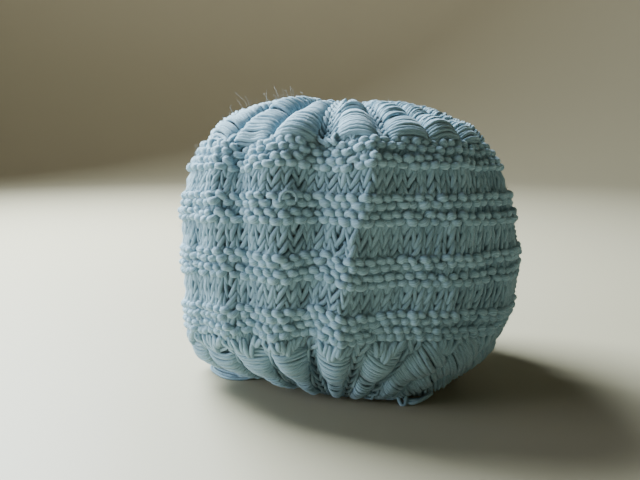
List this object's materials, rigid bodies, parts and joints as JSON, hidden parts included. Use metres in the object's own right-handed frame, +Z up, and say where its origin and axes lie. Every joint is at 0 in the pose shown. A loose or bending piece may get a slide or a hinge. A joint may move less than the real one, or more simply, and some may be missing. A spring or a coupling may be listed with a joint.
{
  "type": "tea cosy",
  "caption": "Hand-knitted cover that keeps a teapot warm: a hollow barrel with garter bands, gathered leaves at top and hem, a knob hole and slits for handle and spout.",
  "frame": {"origin": "on the surface the cover stands on, under the middle of its outline", "axes": "+Z up towards the knob hole, +X towards the spout opening, -Y towards the front"},
  "size_m": [0.1726, 0.1608, 0.1408],
  "materials": {
    "cotton_yarn": "matt pale blue cotton yarn, chunky hand knit"
  },
  "bodies": {
    "root": {"knitted_cover": "cotton_yarn"}
  },
  "joints": []
}
